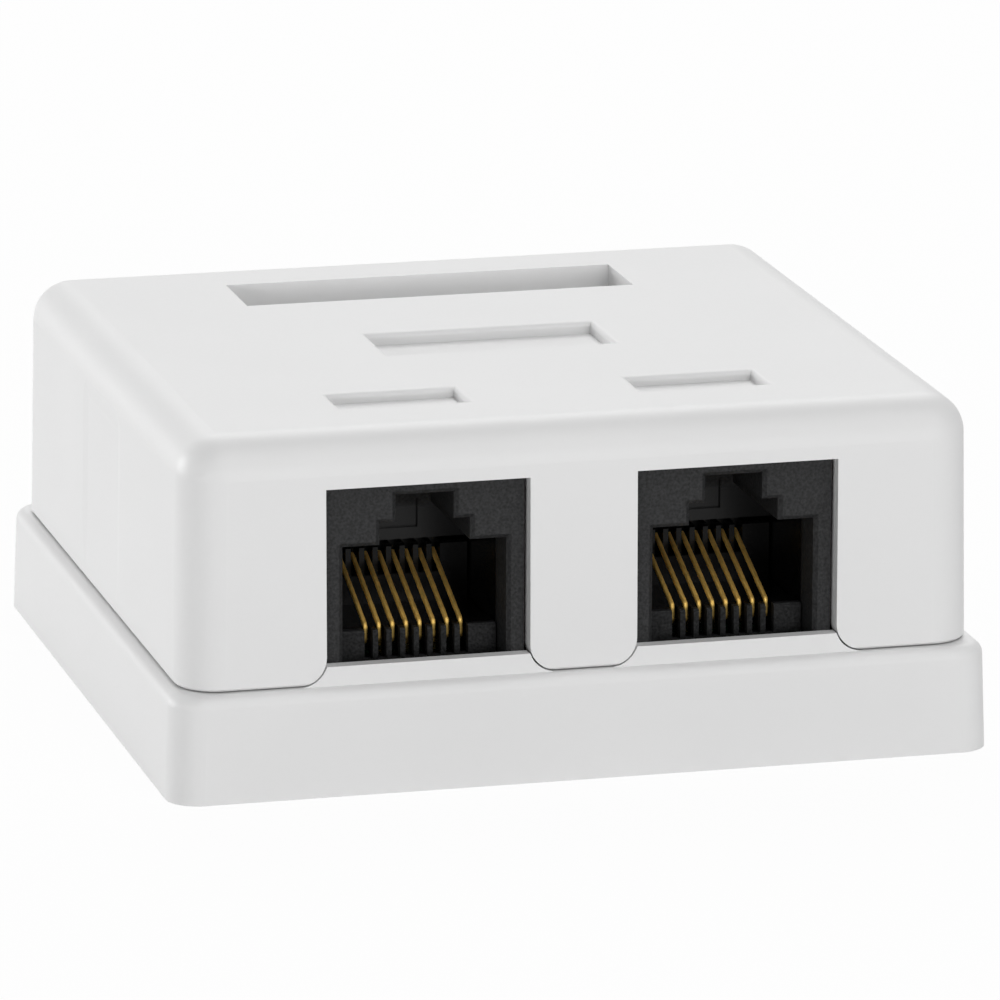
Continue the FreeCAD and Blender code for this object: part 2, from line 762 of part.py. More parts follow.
def jack_housing(name, side):
    """Black jack body, open below, with the stepped plug and latch mouth in its face."""
    body = new_body(name, port_x * side)
    block = new_sketch(body, "block", "XY_Plane", board_top)
    draw(block, box_corners(-jack_width / 2, jack_width / 2, jack_face, jack_face + size("jack_depth")))
    pad(block, jack_top - board_top)

    bevel = size("mouth_bevel")
    wide = size("latch_wide") / 2 - bevel
    narrow = size("latch_narrow") / 2 - bevel
    step = plug_ceiling + size("latch_wide_rise")
    crown = step + size("latch_narrow_rise")
    low = board_top - past
    mouth = new_sketch(body, "mouth", "XZ_Plane", jack_face)
    right_half = [(plug_width / 2, low), (plug_width / 2, plug_ceiling), (wide, plug_ceiling),
                  (wide, step), (narrow, step), (narrow, crown)]
    left_half = [(-x, z) for x, z in reversed(right_half)]
    draw(mouth, right_half + left_half)
    pocket(mouth, size("plug_depth"))
    mouth_box = box_corners(-plug_width / 2, plug_width / 2, jack_face, jack_face)

    finish_edges("Chamfer", body, "mouth_bevel", bevel, lambda e: within(e, mouth_box))

    rear = new_sketch(body, "rear_room", "XY_Plane", board_top)
    back = jack_face + size("plug_depth")
    draw(rear, box_corners(-plug_width / 2, plug_width / 2, back - past, back + size("rear_room")))
    pocket(rear, size("bar_height") + size("carrier_clearance"), other_way=True)

    mark = new_sketch(body, "core_mark", "XZ_Plane", back)
    mark_low = board_top + size("core_mark_set")
    half_mark = size("core_mark_width") / 2
    draw(mark, box_corners(-half_mark, half_mark, mark_low, mark_low + size("core_mark_height")))
    pocket(mark, size("core_mark_sink"))

    pegs = new_sketch(body, "pegs", "XY_Plane", board_top)
    for _, end in sides:
        width = size("peg_width")
        draw(pegs, middle_box(width, width, peg_x * end, jack_face + size("peg_set")))
    pad(pegs, size("peg_length"), other_way=True)
    return body


def contact_carrier(name, side):
    """Moulded insert: a slotted comb in front, a thin floor and a notched bar that holds the tips."""
    body = new_body(name, port_x * side)
    front = jack_face + size("comb_set")
    comb_back = front + size("comb_depth")
    bar_front = jack_face + size("bar_set")
    bar_back = bar_front + size("bar_depth")
    comb_top = board_top + size("comb_height")
    bar_top = board_top + size("bar_height")
    floor_top = board_top + size("carrier_floor")

    profile = new_sketch(body, "profile", "YZ_Plane", -carrier_width / 2)
    draw(profile, [
        (front, board_top),
        (bar_back, board_top),
        (bar_back, bar_top),
        (bar_front, bar_top),
        (bar_front, floor_top),
        (comb_back, floor_top),
        (comb_back, comb_top),
        (front, comb_top),
    ])
    pad(profile, carrier_width)

    def front_corner(edge):
        box = edge.BoundBox
        comb_edge = near(box.YMin, front) and near(box.YMax, front) and level(edge, comb_top)
        bar_edge = near(box.YMin, bar_front) and near(box.YMax, bar_front) and level(edge, bar_top)
        return comb_edge or bar_edge

    finish_edges("Chamfer", body, "front_bevel", size("comb_bevel"), front_corner)

    half_slot = size("comb_slot") / 2
    channel_half = -first_contact + half_slot
    channel = new_sketch(body, "channel", "XY_Plane", board_top)
    draw(channel, box_corners(-channel_half, channel_half, comb_back - past, bar_front))
    pocket(channel, size("channel_height"), other_way=True)

    slot = new_sketch(body, "slot", "XY_Plane", comb_top)
    draw(slot, box_corners(first_contact - half_slot, first_contact + half_slot, front - past, comb_back))
    cut = pocket(slot, size("comb_height") - size("comb_floor"))
    repeat_along_x(body, cut, "comb", size("contact_count"), size("contact_pitch"))

    notch = new_sketch(body, "notch", "XY_Plane", bar_top)
    draw(notch, box_corners(first_contact - half_slot, first_contact + half_slot,
                            bar_front - past, bar_front + size("bar_notch_depth")))
    cut = pocket(notch, size("bar_notch_drop"))
    repeat_along_x(body, cut, "notches", size("contact_count"), size("contact_pitch"))
    return body


def contact_wire(name, side, index):
    """One gold contact: tail, run under the insert, riser in the comb and the long rising spring."""
    body = new_body(name, port_x * side + contact_x(index))
    run = board_top + size("run_height")
    riser = jack_face + size("riser_set")
    tail = tail_y(index)
    low = board_bottom - size("tail_below")

    path = new_sketch(body, "path", "YZ_Plane")
    draw(path, [
        (tail, low),
        (tail, run),
        (riser, run),
        (riser, board_top + size("riser_height"), size("contact_bend")),
        (jack_face + size("tip_set"), board_top + size("tip_height")),
    ], closed=False)
    section = new_sketch(body, "section", "XY_Plane", low)
    draw(section, middle_box(size("contact_size"), size("contact_size"), 0.0, tail))
    pipe = body.newObject("PartDesign::AdditivePipe", name + "_pipe")
    pipe.Profile = section
    pipe.Spine = (path, [])
    pipe.Transition = "Right corner"
    return body


# ---------------------------------------------------------------- punch-down blocks

def idc_block(name, side):
    """Punch-down block: two rows of towers with wire slots, a groove for each blade, a trough between."""
    body = new_body(name, port_x * side, idc_middle)
    top = board_top + size("idc_height")
    half_depth = size("idc_depth") / 2
    block = new_sketch(body, "block", "XY_Plane", board_top)
    draw(block, middle_box(size("idc_width"), size("idc_depth")))
    pad(block, size("idc_height"))
    finish_edges("Chamfer", body, "lead_in", size("idc_bevel"),
                 lambda e: level(e, top) and near(e.BoundBox.YLength, 0.0))

    trough = new_sketch(body, "trough", "XY_Plane", top)
    draw(trough, middle_box(size("idc_width") + 2 * past, size("idc_trough")))
    pocket(trough, size("idc_trough_drop"))

    slots = new_sketch(body, "wire_slots", "XY_Plane", top)
    draw(slots, middle_box(size("idc_slot"), size("idc_depth") + 2 * past, first_idc, 0.0))
    cut = pocket(slots, size("idc_slot_drop"))
    repeat_along_x(body, cut, "slot_row", size("idc_per_row"), size("idc_pitch"))

    grooves = new_sketch(body, "blade_grooves", "XY_Plane", top)
    width = size("blade_width") + 2 * size("blade_clearance")
    thickness = size("blade_thickness") + 2 * size("blade_clearance")
    for row in (-1, 1):
        draw(grooves, middle_box(width, thickness, first_idc, idc_row * row))
    cut = pocket(grooves, size("idc_height"))
    repeat_along_x(body, cut, "groove_row", size("idc_per_row"), size("idc_pitch"))
    return body


def idc_blade(name, side, index):
    """Flat contact blade with a slit that bites the wire, and a tail soldered in the board."""
    x, y = blade_place(index)
    body = new_body(name, port_x * side + x, idc_middle + y)
    half = size("blade_width") / 2
    slit = size("blade_slit") / 2
    lead = size("blade_lead")
    tail = size("blade_tail") / 2
    bottom = board_top + size("blade_rise")
    top = board_top + size("idc_height") - size("blade_top")
    low = board_bottom - size("tail_below")
    right_half = [
        (slit, top - size("blade_slit_drop")),
        (slit, top - size("blade_lead_drop")),
        (lead, top),
        (half, top),
        (half, bottom),
        (tail, bottom),
        (tail, low),
    ]
    left_half = [(-px, pz) for px, pz in reversed(right_half)]
    plate = new_sketch(body, "plate", "XZ_Plane", -size("blade_thickness") / 2)
    draw(plate, right_half + left_half)
    pad(plate, size("blade_thickness"), other_way=True)
    return body


# ---------------------------------------------------------------- board screws

def board_screw(name, side):
    """Pan-head screw through the board into a post, with a cross slot in its head."""
    head = doc.addObject("Part::Cylinder", name + "_head")
    bind(head, "Radius", size("screw_head_radius"))
    bind(head, "Height", size("screw_head_height"))
    bind(head, "Placement.Base.z", board_top)
    shank = doc.addObject("Part::Cylinder", name + "_shank")
    bind(shank, "Radius", size("screw_radius"))
    bind(shank, "Height", size("screw_length") + size("screw_head_height") / 2)
    bind(shank, "Placement.Base.z", board_top - size("screw_length"))
    solid = doc.addObject("Part::Fuse", name + "_solid")
    solid.Base = head
    solid.Tool = shank
    slots = []
    for along, across in (("Length", "Width"), ("Width", "Length")):
        slot = doc.addObject("Part::Box", name + "_slot")
        reach = size("screw_slot_length")
        bind(slot, along, reach)
        bind(slot, across, size("screw_slot_width"))
        bind(slot, "Height", size("screw_slot_depth") + past)
        base = {"Length": "x", "Width": "y"}
        bind(slot, "Placement.Base." + base[along], -reach / 2)
        bind(slot, "Placement.Base." + base[across], -size("screw_slot_width") / 2)
        bind(slot, "Placement.Base.z", board_top + size("screw_head_height") - size("screw_slot_depth"))
        slots.append(slot)
    cross = doc.addObject("Part::Fuse", name + "_cross")
    cross.Base = slots[0]
    cross.Tool = slots[1]
    screw = doc.addObject("Part::Cut", name)
    screw.Base = solid
    screw.Tool = cross
    screw.Label = name
    bind(screw, "Placement.Base.x", post_x * side)
    bind(screw, "Placement.Base.y", size("post_rear"))
    return screw


# ---------------------------------------------------------------- build, check and export

parts = [base_tray(), cover(), circuit_board()]
for side_name, side_sign in sides:
    parts.append(jack_housing("jack_housing_" + side_name, side_sign))
    parts.append(contact_carrier("contact_carrier_" + side_name, side_sign))
    parts.append(idc_block("idc_block_" + side_name, side_sign))
    parts.append(board_screw("board_screw_" + side_name, side_sign))
    for number in range(SIZES["contact_count"]):
        wire_name = "contact_wire_%s_%d" % (side_name, number + 1)
        parts.append(contact_wire(wire_name, side_sign, number))
    for number in range(2 * SIZES["idc_per_row"]):
        blade_name = "idc_blade_%s_%d" % (side_name, number + 1)
        parts.append(idc_blade(blade_name, side_sign, number))
doc.recompute()

failed = [one.Name for one in doc.Objects if "Invalid" in one.State or "Error" in one.State]
if failed:
    raise RuntimeError("failed objects: " + ", ".join(failed))
for part in parts:
    if part.Shape.isNull() or not part.Shape.isValid() or len(part.Shape.Solids) != 1:
        raise RuntimeError(part.Label + " has no single valid solid")

os.makedirs("parts", exist_ok=True)
for part in parts:
    part.Shape.exportStep("parts/%s.step" % part.Label)
    box = part.Shape.BoundBox
    print("%-24s %9.2f mm3  x %.2f..%.2f  y %.2f..%.2f  z %.2f..%.2f" % (
        part.Label, part.Shape.Volume, box.XMin, box.XMax, box.YMin, box.YMax, box.ZMin, box.ZMax))
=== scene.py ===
import math

import bpy
import numpy as np
from bpy.props import FloatProperty, FloatVectorProperty, IntProperty, PointerProperty
from mathutils import Matrix, Vector


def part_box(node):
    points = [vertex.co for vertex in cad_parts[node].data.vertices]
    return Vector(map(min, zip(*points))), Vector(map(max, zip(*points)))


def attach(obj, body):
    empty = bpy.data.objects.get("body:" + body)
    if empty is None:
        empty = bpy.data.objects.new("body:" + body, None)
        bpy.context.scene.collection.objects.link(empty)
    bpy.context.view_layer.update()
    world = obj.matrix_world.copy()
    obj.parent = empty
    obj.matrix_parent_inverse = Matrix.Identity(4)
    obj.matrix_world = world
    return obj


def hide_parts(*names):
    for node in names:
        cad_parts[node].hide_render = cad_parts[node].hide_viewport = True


bl_info = {
    "name": "Two-port jack box",
    "version": (1, 0, 0),
    "blender": (4, 5, 0),
    "location": "3D View > Sidebar > Jack Box",
    "description": "Finishes of moulded plastic, gold contacts and a small studio for a two-port jack box",
    "category": "Object",
}

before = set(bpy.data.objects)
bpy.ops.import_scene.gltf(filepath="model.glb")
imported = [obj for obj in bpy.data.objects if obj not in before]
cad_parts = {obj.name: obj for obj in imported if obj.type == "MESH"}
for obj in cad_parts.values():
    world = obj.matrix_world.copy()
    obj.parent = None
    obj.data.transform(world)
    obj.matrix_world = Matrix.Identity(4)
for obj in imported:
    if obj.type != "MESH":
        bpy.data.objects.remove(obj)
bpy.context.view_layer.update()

SIDES = ("left", "right")
CONTACTS = range(1, 9)
MM = 0.001
BLACK = (0.0, 0.0, 0.0)
SHARP_EDGE = math.radians(40.0)

SENSOR = 36.0
FLOOR_POINTS = 5
FLOOR_GAP = 0.02 * MM
LAMP_DISTANCE = 1.2
LAMPS = (  # the level's name in the stage's settings, the direction from the box, the side of the lamp
    ("key", (0.22, -0.96, 0.10), 0.30),
    ("fill", (0.20, -0.56, 0.80), 0.80),
    ("corner", (-0.50, -0.86, 0.05), 0.25),
    ("side", (-0.80, 0.60, 0.0), 0.80),
    ("back", (0.20, 0.68, 0.70), 0.80),
)


# ---------------------------------------------------------------- settings

def colour_setting(name, description, default):
    """A linear colour that the panel shows as a swatch."""
    return FloatVectorProperty(name=name, description=description, default=default,
                               subtype="COLOR", size=3, min=0.0, max=1.0)


def length_setting(name, description, default):
    """A length in metres."""
    return FloatProperty(name=name, description=description, default=default, unit="LENGTH",
                         min=0.0, precision=5)


def share_setting(name, description, default):
    """A share from 0 to 1."""
    return FloatProperty(name=name, description=description, default=default, subtype="FACTOR",
                         min=0.0, max=1.0)


def level_setting(name, description, default):
    """A light's level, where 1 shows a surface in about its own colour."""
    return FloatProperty(name=name, description=description, default=default, min=0.0, soft_max=2.0)


class ShellSettings(bpy.types.PropertyGroup):
    colour: colour_setting("ABS colour", "Colour of the white moulded ABS", (0.802, 0.802, 0.802))
    roughness: share_setting("ABS roughness", "Roughness of the eroded ABS surface", 0.46)
    grain: length_setting("Grain size", "Size of one grain of the eroded surface", 0.22 * MM)
    grain_depth: length_setting("Grain depth", "Height of the eroded grain", 0.0022 * MM)
    waviness: length_setting("Waviness", "Height of the slow waves left by moulding", 0.006 * MM)


class JackSettings(bpy.types.PropertyGroup):
    colour: colour_setting("Jack colour", "Colour of the black jack plastic", (0.019, 0.0192, 0.0198))
    roughness: share_setting("Jack roughness", "Roughness of the jack plastic", 0.56)
    specular: share_setting("Jack reflection", "Strength of the housing's reflection", 0.22)
    insert_specular: share_setting("Insert reflection", "Strength of the contact insert's reflection", 0.14)
    grain: length_setting("Grain size", "Size of one grain of the jack's surface", 0.20 * MM)
    grain_depth: length_setting("Grain depth", "Height of the jack's grain", 0.045 * MM)
    # Face depth and ceiling height also bound the inside, whose colour is darkened there as painted shade
    skin: length_setting("Face depth", "How far behind its face the jack is still grained", 3.0 * MM)
    ceiling: length_setting("Ceiling height", "Height over the board where the grained latch channel starts",
                            9.5 * MM)
    # Painted shade: the share of the colour kept deep inside the jack's mouth, where little light reaches
    inner: share_setting("Inner shade", "Share of the colour that the polished inside keeps", 0.10)
    inner_roughness: share_setting("Inner roughness", "Roughness of the polished inside", 0.26)


class ContactSettings(bpy.types.PropertyGroup):
    colour: colour_setting("Gold colour", "Colour of the gold plating", (1.0, 0.68, 0.20))
    roughness: share_setting("Gold roughness", "Roughness of the plating", 0.62)
    # Painted shade: the share of the gold colour that the riser and the run keep
    riser_shade: share_setting("Flash", "Share of the colour that the thinly plated riser and run keep", 0.38)
    thickness: length_setting("Contact thickness", "Side of the contact's square section", 0.34 * MM)
    edge: length_setting("Contact edge", "Rounding of the section's corners", 0.12 * MM)
    bend: length_setting("Contact bend", "Radius of the contact's centreline at its bends", 0.35 * MM)
    bend_steps: IntProperty(name="Bend steps", description="Steps in each bend", default=8, min=2, max=32)
    tail_set: length_setting("Tail set-back", "From the riser to the front row of tails", 3.9 * MM)
    tail_stagger: length_setting("Tail stagger", "From the front row of tails to the back row", 2.54 * MM)
    run_height: length_setting("Run height", "Height of the run over the board", 1.35 * MM)
    riser_height: length_setting("Riser height", "Height of the riser's top over the board", 2.6 * MM)
    tip_set: length_setting("Tip set-back", "From the riser to the spring's free tip", 8.3 * MM)
    tip_height: length_setting("Tip height", "Height of the free tip over the board", 5.85 * MM)


class InsideSettings(bpy.types.PropertyGroup):
    board: colour_setting("Board colour", "Colour of the solder mask", (0.004, 0.030, 0.012))
    block: colour_setting("Block colour", "Colour of the punch-down blocks", (0.74, 0.72, 0.64))
    steel: colour_setting("Steel colour", "Colour of the zinc-plated screws", (0.62, 0.62, 0.60))
    tin: colour_setting("Tin colour", "Colour of the tinned blades", (0.70, 0.69, 0.66))


class StageSettings(bpy.types.PropertyGroup):
    place: FloatVectorProperty(name="Camera place", description="Where the camera stands", size=3,
                               default=(-0.151917, -0.576782, 0.167674), subtype="XYZ", unit="LENGTH")
    turn: FloatVectorProperty(name="Camera turn", description="The camera's pan, tilt and roll", size=3,
                              default=(-0.25939, -0.25296, 0.00441), subtype="XYZ", unit="ROTATION")
    lens: FloatProperty(name="Lens", description="Focal length", default=294.24, unit="CAMERA")
    floor: colour_setting("Floor colour", "Colour of the pale floor", (0.90, 0.90, 0.90))
    floor_size: length_setting("Floor size", "Side of the square floor", 8.0)
    floor_lift: share_setting("Floor lift", "How far the floor is lifted to white where it is seen", 0.96)
    sky: level_setting("Sky light", "Level of the even light from all around", 0.14)
    key: level_setting("Key light", "Level that the low lamp in front adds", 0.19)
    fill: level_setting("Fill light", "Level that the high lamp in front adds", 0.34)
    corner: level_setting("Corner light", "Level that the low lamp in front of the left corner adds", 0.20)
    side: level_setting("Side light", "Level that the low lamp on the left adds", 1.04)
    back: level_setting("Back light", "Level that the high lamp behind adds", 0.45)


class JackBoxSettings(bpy.types.PropertyGroup):
    shell: PointerProperty(type=ShellSettings)
    jack: PointerProperty(type=JackSettings)
    contact: PointerProperty(type=ContactSettings)
    inside: PointerProperty(type=InsideSettings)
    stage: PointerProperty(type=StageSettings)


# ---------------------------------------------------------------- materials

def feed(tree, socket, value):
    """Sets a socket: another node's output is linked to it, and a plain value is written on it."""
    if isinstance(value, bpy.types.NodeSocket):
        tree.links.new(value, socket)
    else:
        socket.default_value = value


def combined(tree, operation, first, second):
    """Two values put together by a Math node."""
    node = tree.nodes.new("ShaderNodeMath")
    node.operation = operation
    feed(tree, node.inputs[0], first)
    feed(tree, node.inputs[1], second)
    return node.outputs["Value"]


class Finish:
    """A node material built around one Principled shader, with its patterns in object coordinates."""

    def __init__(self, name, roughness, metallic=0.0):
        self.material = bpy.data.materials.new(name)
        self.material.use_nodes = True
        self.tree = self.material.node_tree
        self.shader = self.tree.nodes["Principled BSDF"]
        self.shader.inputs["Roughness"].default_value = roughness
        self.shader.inputs["Metallic"].default_value = metallic
        self.place = self.tree.nodes.new("ShaderNodeTexCoord").outputs["Object"]
        self.normal = None

    def add(self, kind, **inputs):
        """A new node with the named sockets fed, where _ stands for a space."""
        node = self.tree.nodes.new(kind)
        for name, value in inputs.items():
            feed(self.tree, node.inputs[name.replace("_", " ")], value)
        return node

    def noise(self, size, detail=2.0, stretch=(1.0, 1.0, 1.0)):
        """Noise whose lumps are about `size` across, drawn out along an axis where stretch is below 1."""
        place = self.add("ShaderNodeMapping", Vector=self.place, Scale=stretch).outputs["Vector"]
        node = self.add("ShaderNodeTexNoise", Vector=place, Scale=1.0 / size, Detail=detail)
        return node.outputs["Fac"]

    def spread(self, source, low, high, start=0.3, end=0.7):
        """The source's values from start to end, spread from low to high."""
        node = self.add("ShaderNodeMapRange", Value=source, From_Min=start, From_Max=end,
                        To_Min=low, To_Max=high)
        return node.outputs["Result"]

    def product(self, first, second):
        """Two patterns multiplied."""
        return combined(self.tree, "MULTIPLY", first, second)

    def colour(self, source, dark, light, start=0.3, end=0.7):
        """The base colour runs from dark to light as the source goes from start to end."""
        ramp = self.add("ShaderNodeValToRGB", Fac=source)
        for element, position, value in zip(ramp.color_ramp.elements, (start, end), (dark, light)):
            element.position = position
            element.color = (*value, 1.0)
        feed(self.tree, self.shader.inputs["Base Color"], ramp.outputs["Color"])

    def roughness(self, source, low, high, start=0.3, end=0.7):
        """The roughness runs from low to high as the source goes from start to end."""
        feed(self.tree, self.shader.inputs["Roughness"], self.spread(source, low, high, start, end))

    def bump(self, source, height):
        """The source raises the surface by up to `height`, on top of the bumps added before."""
        node = self.add("ShaderNodeBump", Height=source, Distance=height, Strength=1.0)
        if self.normal is not None:
            feed(self.tree, node.inputs["Normal"], self.normal)
        self.normal = node.outputs["Normal"]
        feed(self.tree, self.shader.inputs["Normal"], self.normal)


def shade(colour, factor):
    """The colour with each channel multiplied by the factor."""
    return tuple(channel * factor for channel in colour)


def white_abs(settings):
    """Matte white ABS: fine eroded grain, slow waves from moulding and a faint mottle of colour."""
    wave_length = 14.0 * MM
    mottle = 0.985
    swing = 0.05
    finish = Finish("white_abs", settings.roughness)
    grain = finish.noise(settings.grain)
    waves = finish.noise(wave_length, detail=1.0)
    finish.colour(waves, shade(settings.colour, mottle), settings.colour)
    finish.roughness(grain, settings.roughness - swing, settings.roughness + swing)
    finish.bump(waves, settings.waviness)
    finish.bump(grain, settings.grain_depth)
    return finish.material


def black_plastic(name, settings, specular):
    """Black jack plastic: the face and the latch channel have a coarse eroded grain of random grey tone,
    whose brightest specks are painted glints of light. The inside is polished, and its colour is darkened as
    painted shade, the shade deep in the jack's mouth. A place is inside when it lies behind the face by more
    than the skin, and also under the latch channel."""
    blend = 0.4 * MM
    dark_speck = 0.20
    # Painted glints: the brightest grain specks reach this multiple of the plastic's colour
    glint_speck = 1.5
    finish = Finish(name, settings.roughness)
    finish.shader.inputs["Specular IOR Level"].default_value = specular
    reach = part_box("jack_housing_left")[0].y + settings.skin
    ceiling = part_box("circuit_board")[1].z + settings.ceiling
    place = finish.add("ShaderNodeSeparateXYZ", Vector=finish.place)
    shallow = finish.spread(place.outputs["Y"], 1.0, 0.0, reach, reach + blend)
    above = finish.spread(place.outputs["Z"], 0.0, 1.0, ceiling - blend, ceiling)
    face = combined(finish.tree, "MAXIMUM", shallow, above)
    grain = finish.noise(settings.grain, detail=3.0)
    # Random grain tone, whose brightest specks are painted glints of light
    specks = finish.spread(grain, dark_speck, 1.0)
    # Painted shade: behind the face and under the channel the colour falls to the inner share
    level = finish.product(specks, finish.spread(face, settings.inner, 1.0, 0.0, 1.0))
    finish.colour(level, BLACK, shade(settings.colour, glint_speck), 0.0, 1.0)
    finish.roughness(face, settings.inner_roughness, settings.roughness, 0.0, 1.0)
    finish.bump(finish.product(grain, face), settings.grain_depth)
    return finish.material


def gold_plating(settings):
    """Gold plating over drawn strip: fine lines along the contact and small changes of tone. The riser and
    the run are darker than the spring, a painted shade below the riser's top."""
    cloud_size = 0.5 * MM
    dull = 0.86
    blend = 0.3 * MM
    line_size = 0.05 * MM
    line_depth = 0.0008 * MM
    swing = 0.08
    finish = Finish("gold_contact", settings.roughness, metallic=1.0)
    cloud = finish.noise(cloud_size)
    lines = finish.noise(line_size, detail=1.0, stretch=(1.0, 0.05, 0.1))
    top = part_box("circuit_board")[1].z + settings.riser_height
    height = finish.add("ShaderNodeSeparateXYZ", Vector=finish.place).outputs["Z"]
    # Painted shade: below the riser's top the colour falls to the riser shade share
    plated = finish.spread(height, settings.riser_shade, 1.0, top - blend, top + blend)
    level = finish.product(finish.spread(cloud, dull, 1.0), plated)
    finish.colour(level, BLACK, settings.colour, 0.0, 1.0)
    finish.roughness(lines, settings.roughness - swing, settings.roughness + swing)
    finish.bump(lines, line_depth)
    return finish.material


def solder_mask(settings):
    """Glossy solder mask over woven glass board, with copper tracks that show as paler runs."""
    bare = 0.72
    weave_size = 0.35 * MM
    weave_depth = 0.004 * MM
    track_height = 0.02 * MM
    finish = Finish("board", roughness=0.28)
    across = finish.add("ShaderNodeTexWave", Vector=finish.place, Scale=210.0, Distortion=3.5, Detail=1.0,
                        Detail_Scale=0.4)
    weave = finish.noise(weave_size, detail=1.0)
    tracks = finish.spread(across.outputs["Fac"], 0.0, 1.0, start=0.62, end=0.70)
    finish.colour(tracks, shade(settings.board, bare), settings.board)
    finish.roughness(weave, low=0.22, high=0.36)
    finish.bump(tracks, track_height)
    finish.bump(weave, weave_depth)
    return finish.material


def block_plastic(settings):
    """Satin off-white plastic of the punch-down blocks, with faint flow marks."""
    flow_size = 3.0 * MM
    flow_shade = 0.93
    grain_size = 0.15 * MM
    grain_depth = 0.0025 * MM
    finish = Finish("block_plastic", roughness=0.38)
    flow = finish.noise(flow_size, stretch=(1.0, 1.0, 0.35))
    grain = finish.noise(grain_size)
    finish.colour(flow, shade(settings.block, flow_shade), settings.block)
    finish.roughness(flow, low=0.32, high=0.46)
    finish.bump(grain, grain_depth)
    return finish.material


def brushed_metal(name, colour, roughness, line, stretch):
    """Plated metal with lines about `line` wide along the axis where stretch is below 1, and a cloudy
    change of tone."""
    cloud_size = 0.9 * MM
    dull = 0.84
    line_depth = 0.0015 * MM
    swing = 0.10
    finish = Finish(name, roughness, metallic=1.0)
    cloud = finish.noise(cloud_size)
    lines = finish.noise(line, stretch=stretch)
    finish.colour(cloud, shade(colour, dull), colour)
    finish.roughness(lines, roughness - swing, roughness + swing)
    finish.bump(lines, line_depth)
    return finish.material


def seen_rays(tree):
    """1 for rays from the camera, from glossy surfaces and through clear ones, and 0 for the light that
    falls on the object."""
    path = tree.nodes.new("ShaderNodeLightPath")
    seen = path.outputs["Is Camera Ray"]
    for name in ("Is Glossy Ray", "Is Transmission Ray"):
        seen = combined(tree, "MAXIMUM", seen, path.outputs[name])
    return seen


def pale_floor(settings):
    """A matt pale surface that is lifted towards white where it is seen, and keeps the object's
    shadow."""
    material = bpy.data.materials.new("floor")
    material.use_nodes = True
    tree = material.node_tree
    shader = tree.nodes["Principled BSDF"]
    feed(tree, shader.inputs["Base Color"], (*settings.floor, 1.0))
    feed(tree, shader.inputs["Roughness"], 0.9)
    feed(tree, shader.inputs["Specular IOR Level"], 0.0)
    glow = tree.nodes.new("ShaderNodeEmission")
    mix = tree.nodes.new("ShaderNodeMixShader")
    lift = combined(tree, "MULTIPLY", seen_rays(tree), settings.floor_lift)
    for socket, source in zip(mix.inputs, (lift, shader.outputs["BSDF"], glow.outputs["Emission"])):
        feed(tree, socket, source)
    feed(tree, tree.nodes["Material Output"].inputs["Surface"], mix.outputs["Shader"])
    return material


def dress(names, material):
    """Puts the material on every slot of the named CAD nodes."""
    for name in names:
        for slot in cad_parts[name].material_slots:
            slot.material = material


# ---------------------------------------------------------------- shapes

def rounded_square(side, radius, steps=3):
    """The outline of a square with rounded corners: each corner is a quarter circle of the given radius
    about a centre set in by the radius from both sides, and the outline runs once round,
    anticlockwise."""
    quarter = np.linspace(0.0, math.pi / 2, steps + 1)
    angles = (quarter[None, :] + np.arange(4)[:, None] * math.pi / 2).ravel()
    corner = np.repeat(np.arange(4) * math.pi / 2 + math.pi / 4, steps + 1)
    reach = (side / 2 - radius) * math.sqrt(2.0)
    return np.stack([reach * np.cos(corner) + radius * np.cos(angles),
                     reach * np.sin(corner) + radius * np.sin(angles)], axis=1)


def bent_line(corners, radius, steps):
    """A line through flat corners with each inner corner replaced by an arc: the arc has the given
    radius, starts and ends where it touches the two runs, and turns by the angle between them in equal
    steps."""
    corners = np.asarray(corners, float)
    before = corners[1:-1] - corners[:-2]
    after = corners[2:] - corners[1:-1]
    before /= np.linalg.norm(before, axis=1, keepdims=True)
    after /= np.linalg.norm(after, axis=1, keepdims=True)
    turn = np.arctan2(before[:, 0] * after[:, 1] - before[:, 1] * after[:, 0], (before * after).sum(axis=1))
    start = corners[1:-1] - before * (radius * np.tan(np.abs(turn) / 2))[:, None]
    side = np.stack([-before[:, 1], before[:, 0]], axis=1) * np.sign(turn)[:, None]
    swept = np.abs(turn)[:, None] * np.linspace(0.0, 1.0, steps + 1)[None, :]
    arcs = (start[:, None, :] + radius * np.sin(swept)[..., None] * before[:, None, :]
            + radius * (1.0 - np.cos(swept))[..., None] * side[:, None, :])
    return np.concatenate([corners[:1], arcs.reshape(-1, 2), corners[-1:]])


def carried_profile(line, profile, x, blunt):
    """A solid strip: at every point of a line in the YZ plane stands the profile, with its first
    direction along X and its second along the line's normal, which is the tangent turned by a quarter.
    The tangent at a point is the mean of the directions of the two runs that meet there. Both ends shrink
    by `blunt` over the same length, so that no end is a sharp square, and close in a middle point."""
    runs = np.diff(line, axis=0)
    runs /= np.linalg.norm(runs, axis=1, keepdims=True)
    tangent = np.concatenate([runs[:1], runs[:-1] + runs[1:], runs[-1:]])
    tangent /= np.linalg.norm(tangent, axis=1, keepdims=True)
    middle = np.concatenate([line[:1], line[:1] + blunt * tangent[:1], line[1:-1],
                             line[-1:] - blunt * tangent[-1:], line[-1:]])
    tangent = np.concatenate([tangent[:1], tangent, tangent[-1:]])
    half = np.abs(profile).max()
    scale = np.ones(len(middle))
    scale[[0, -1]] = 1.0 - blunt / half
    normal = np.stack([-tangent[:, 1], tangent[:, 0]], axis=1)
    across = profile[None, :, 0] * scale[:, None]
    raised = profile[None, :, 1] * scale[:, None]
    flat = middle[:, None, :] + raised[..., None] * normal[:, None, :]
    rings = np.concatenate([(x + across)[..., None], flat], axis=2)
    ends = np.array([[x, *middle[0]], [x, *middle[-1]]])
    return np.concatenate([rings.reshape(-1, 3), ends])


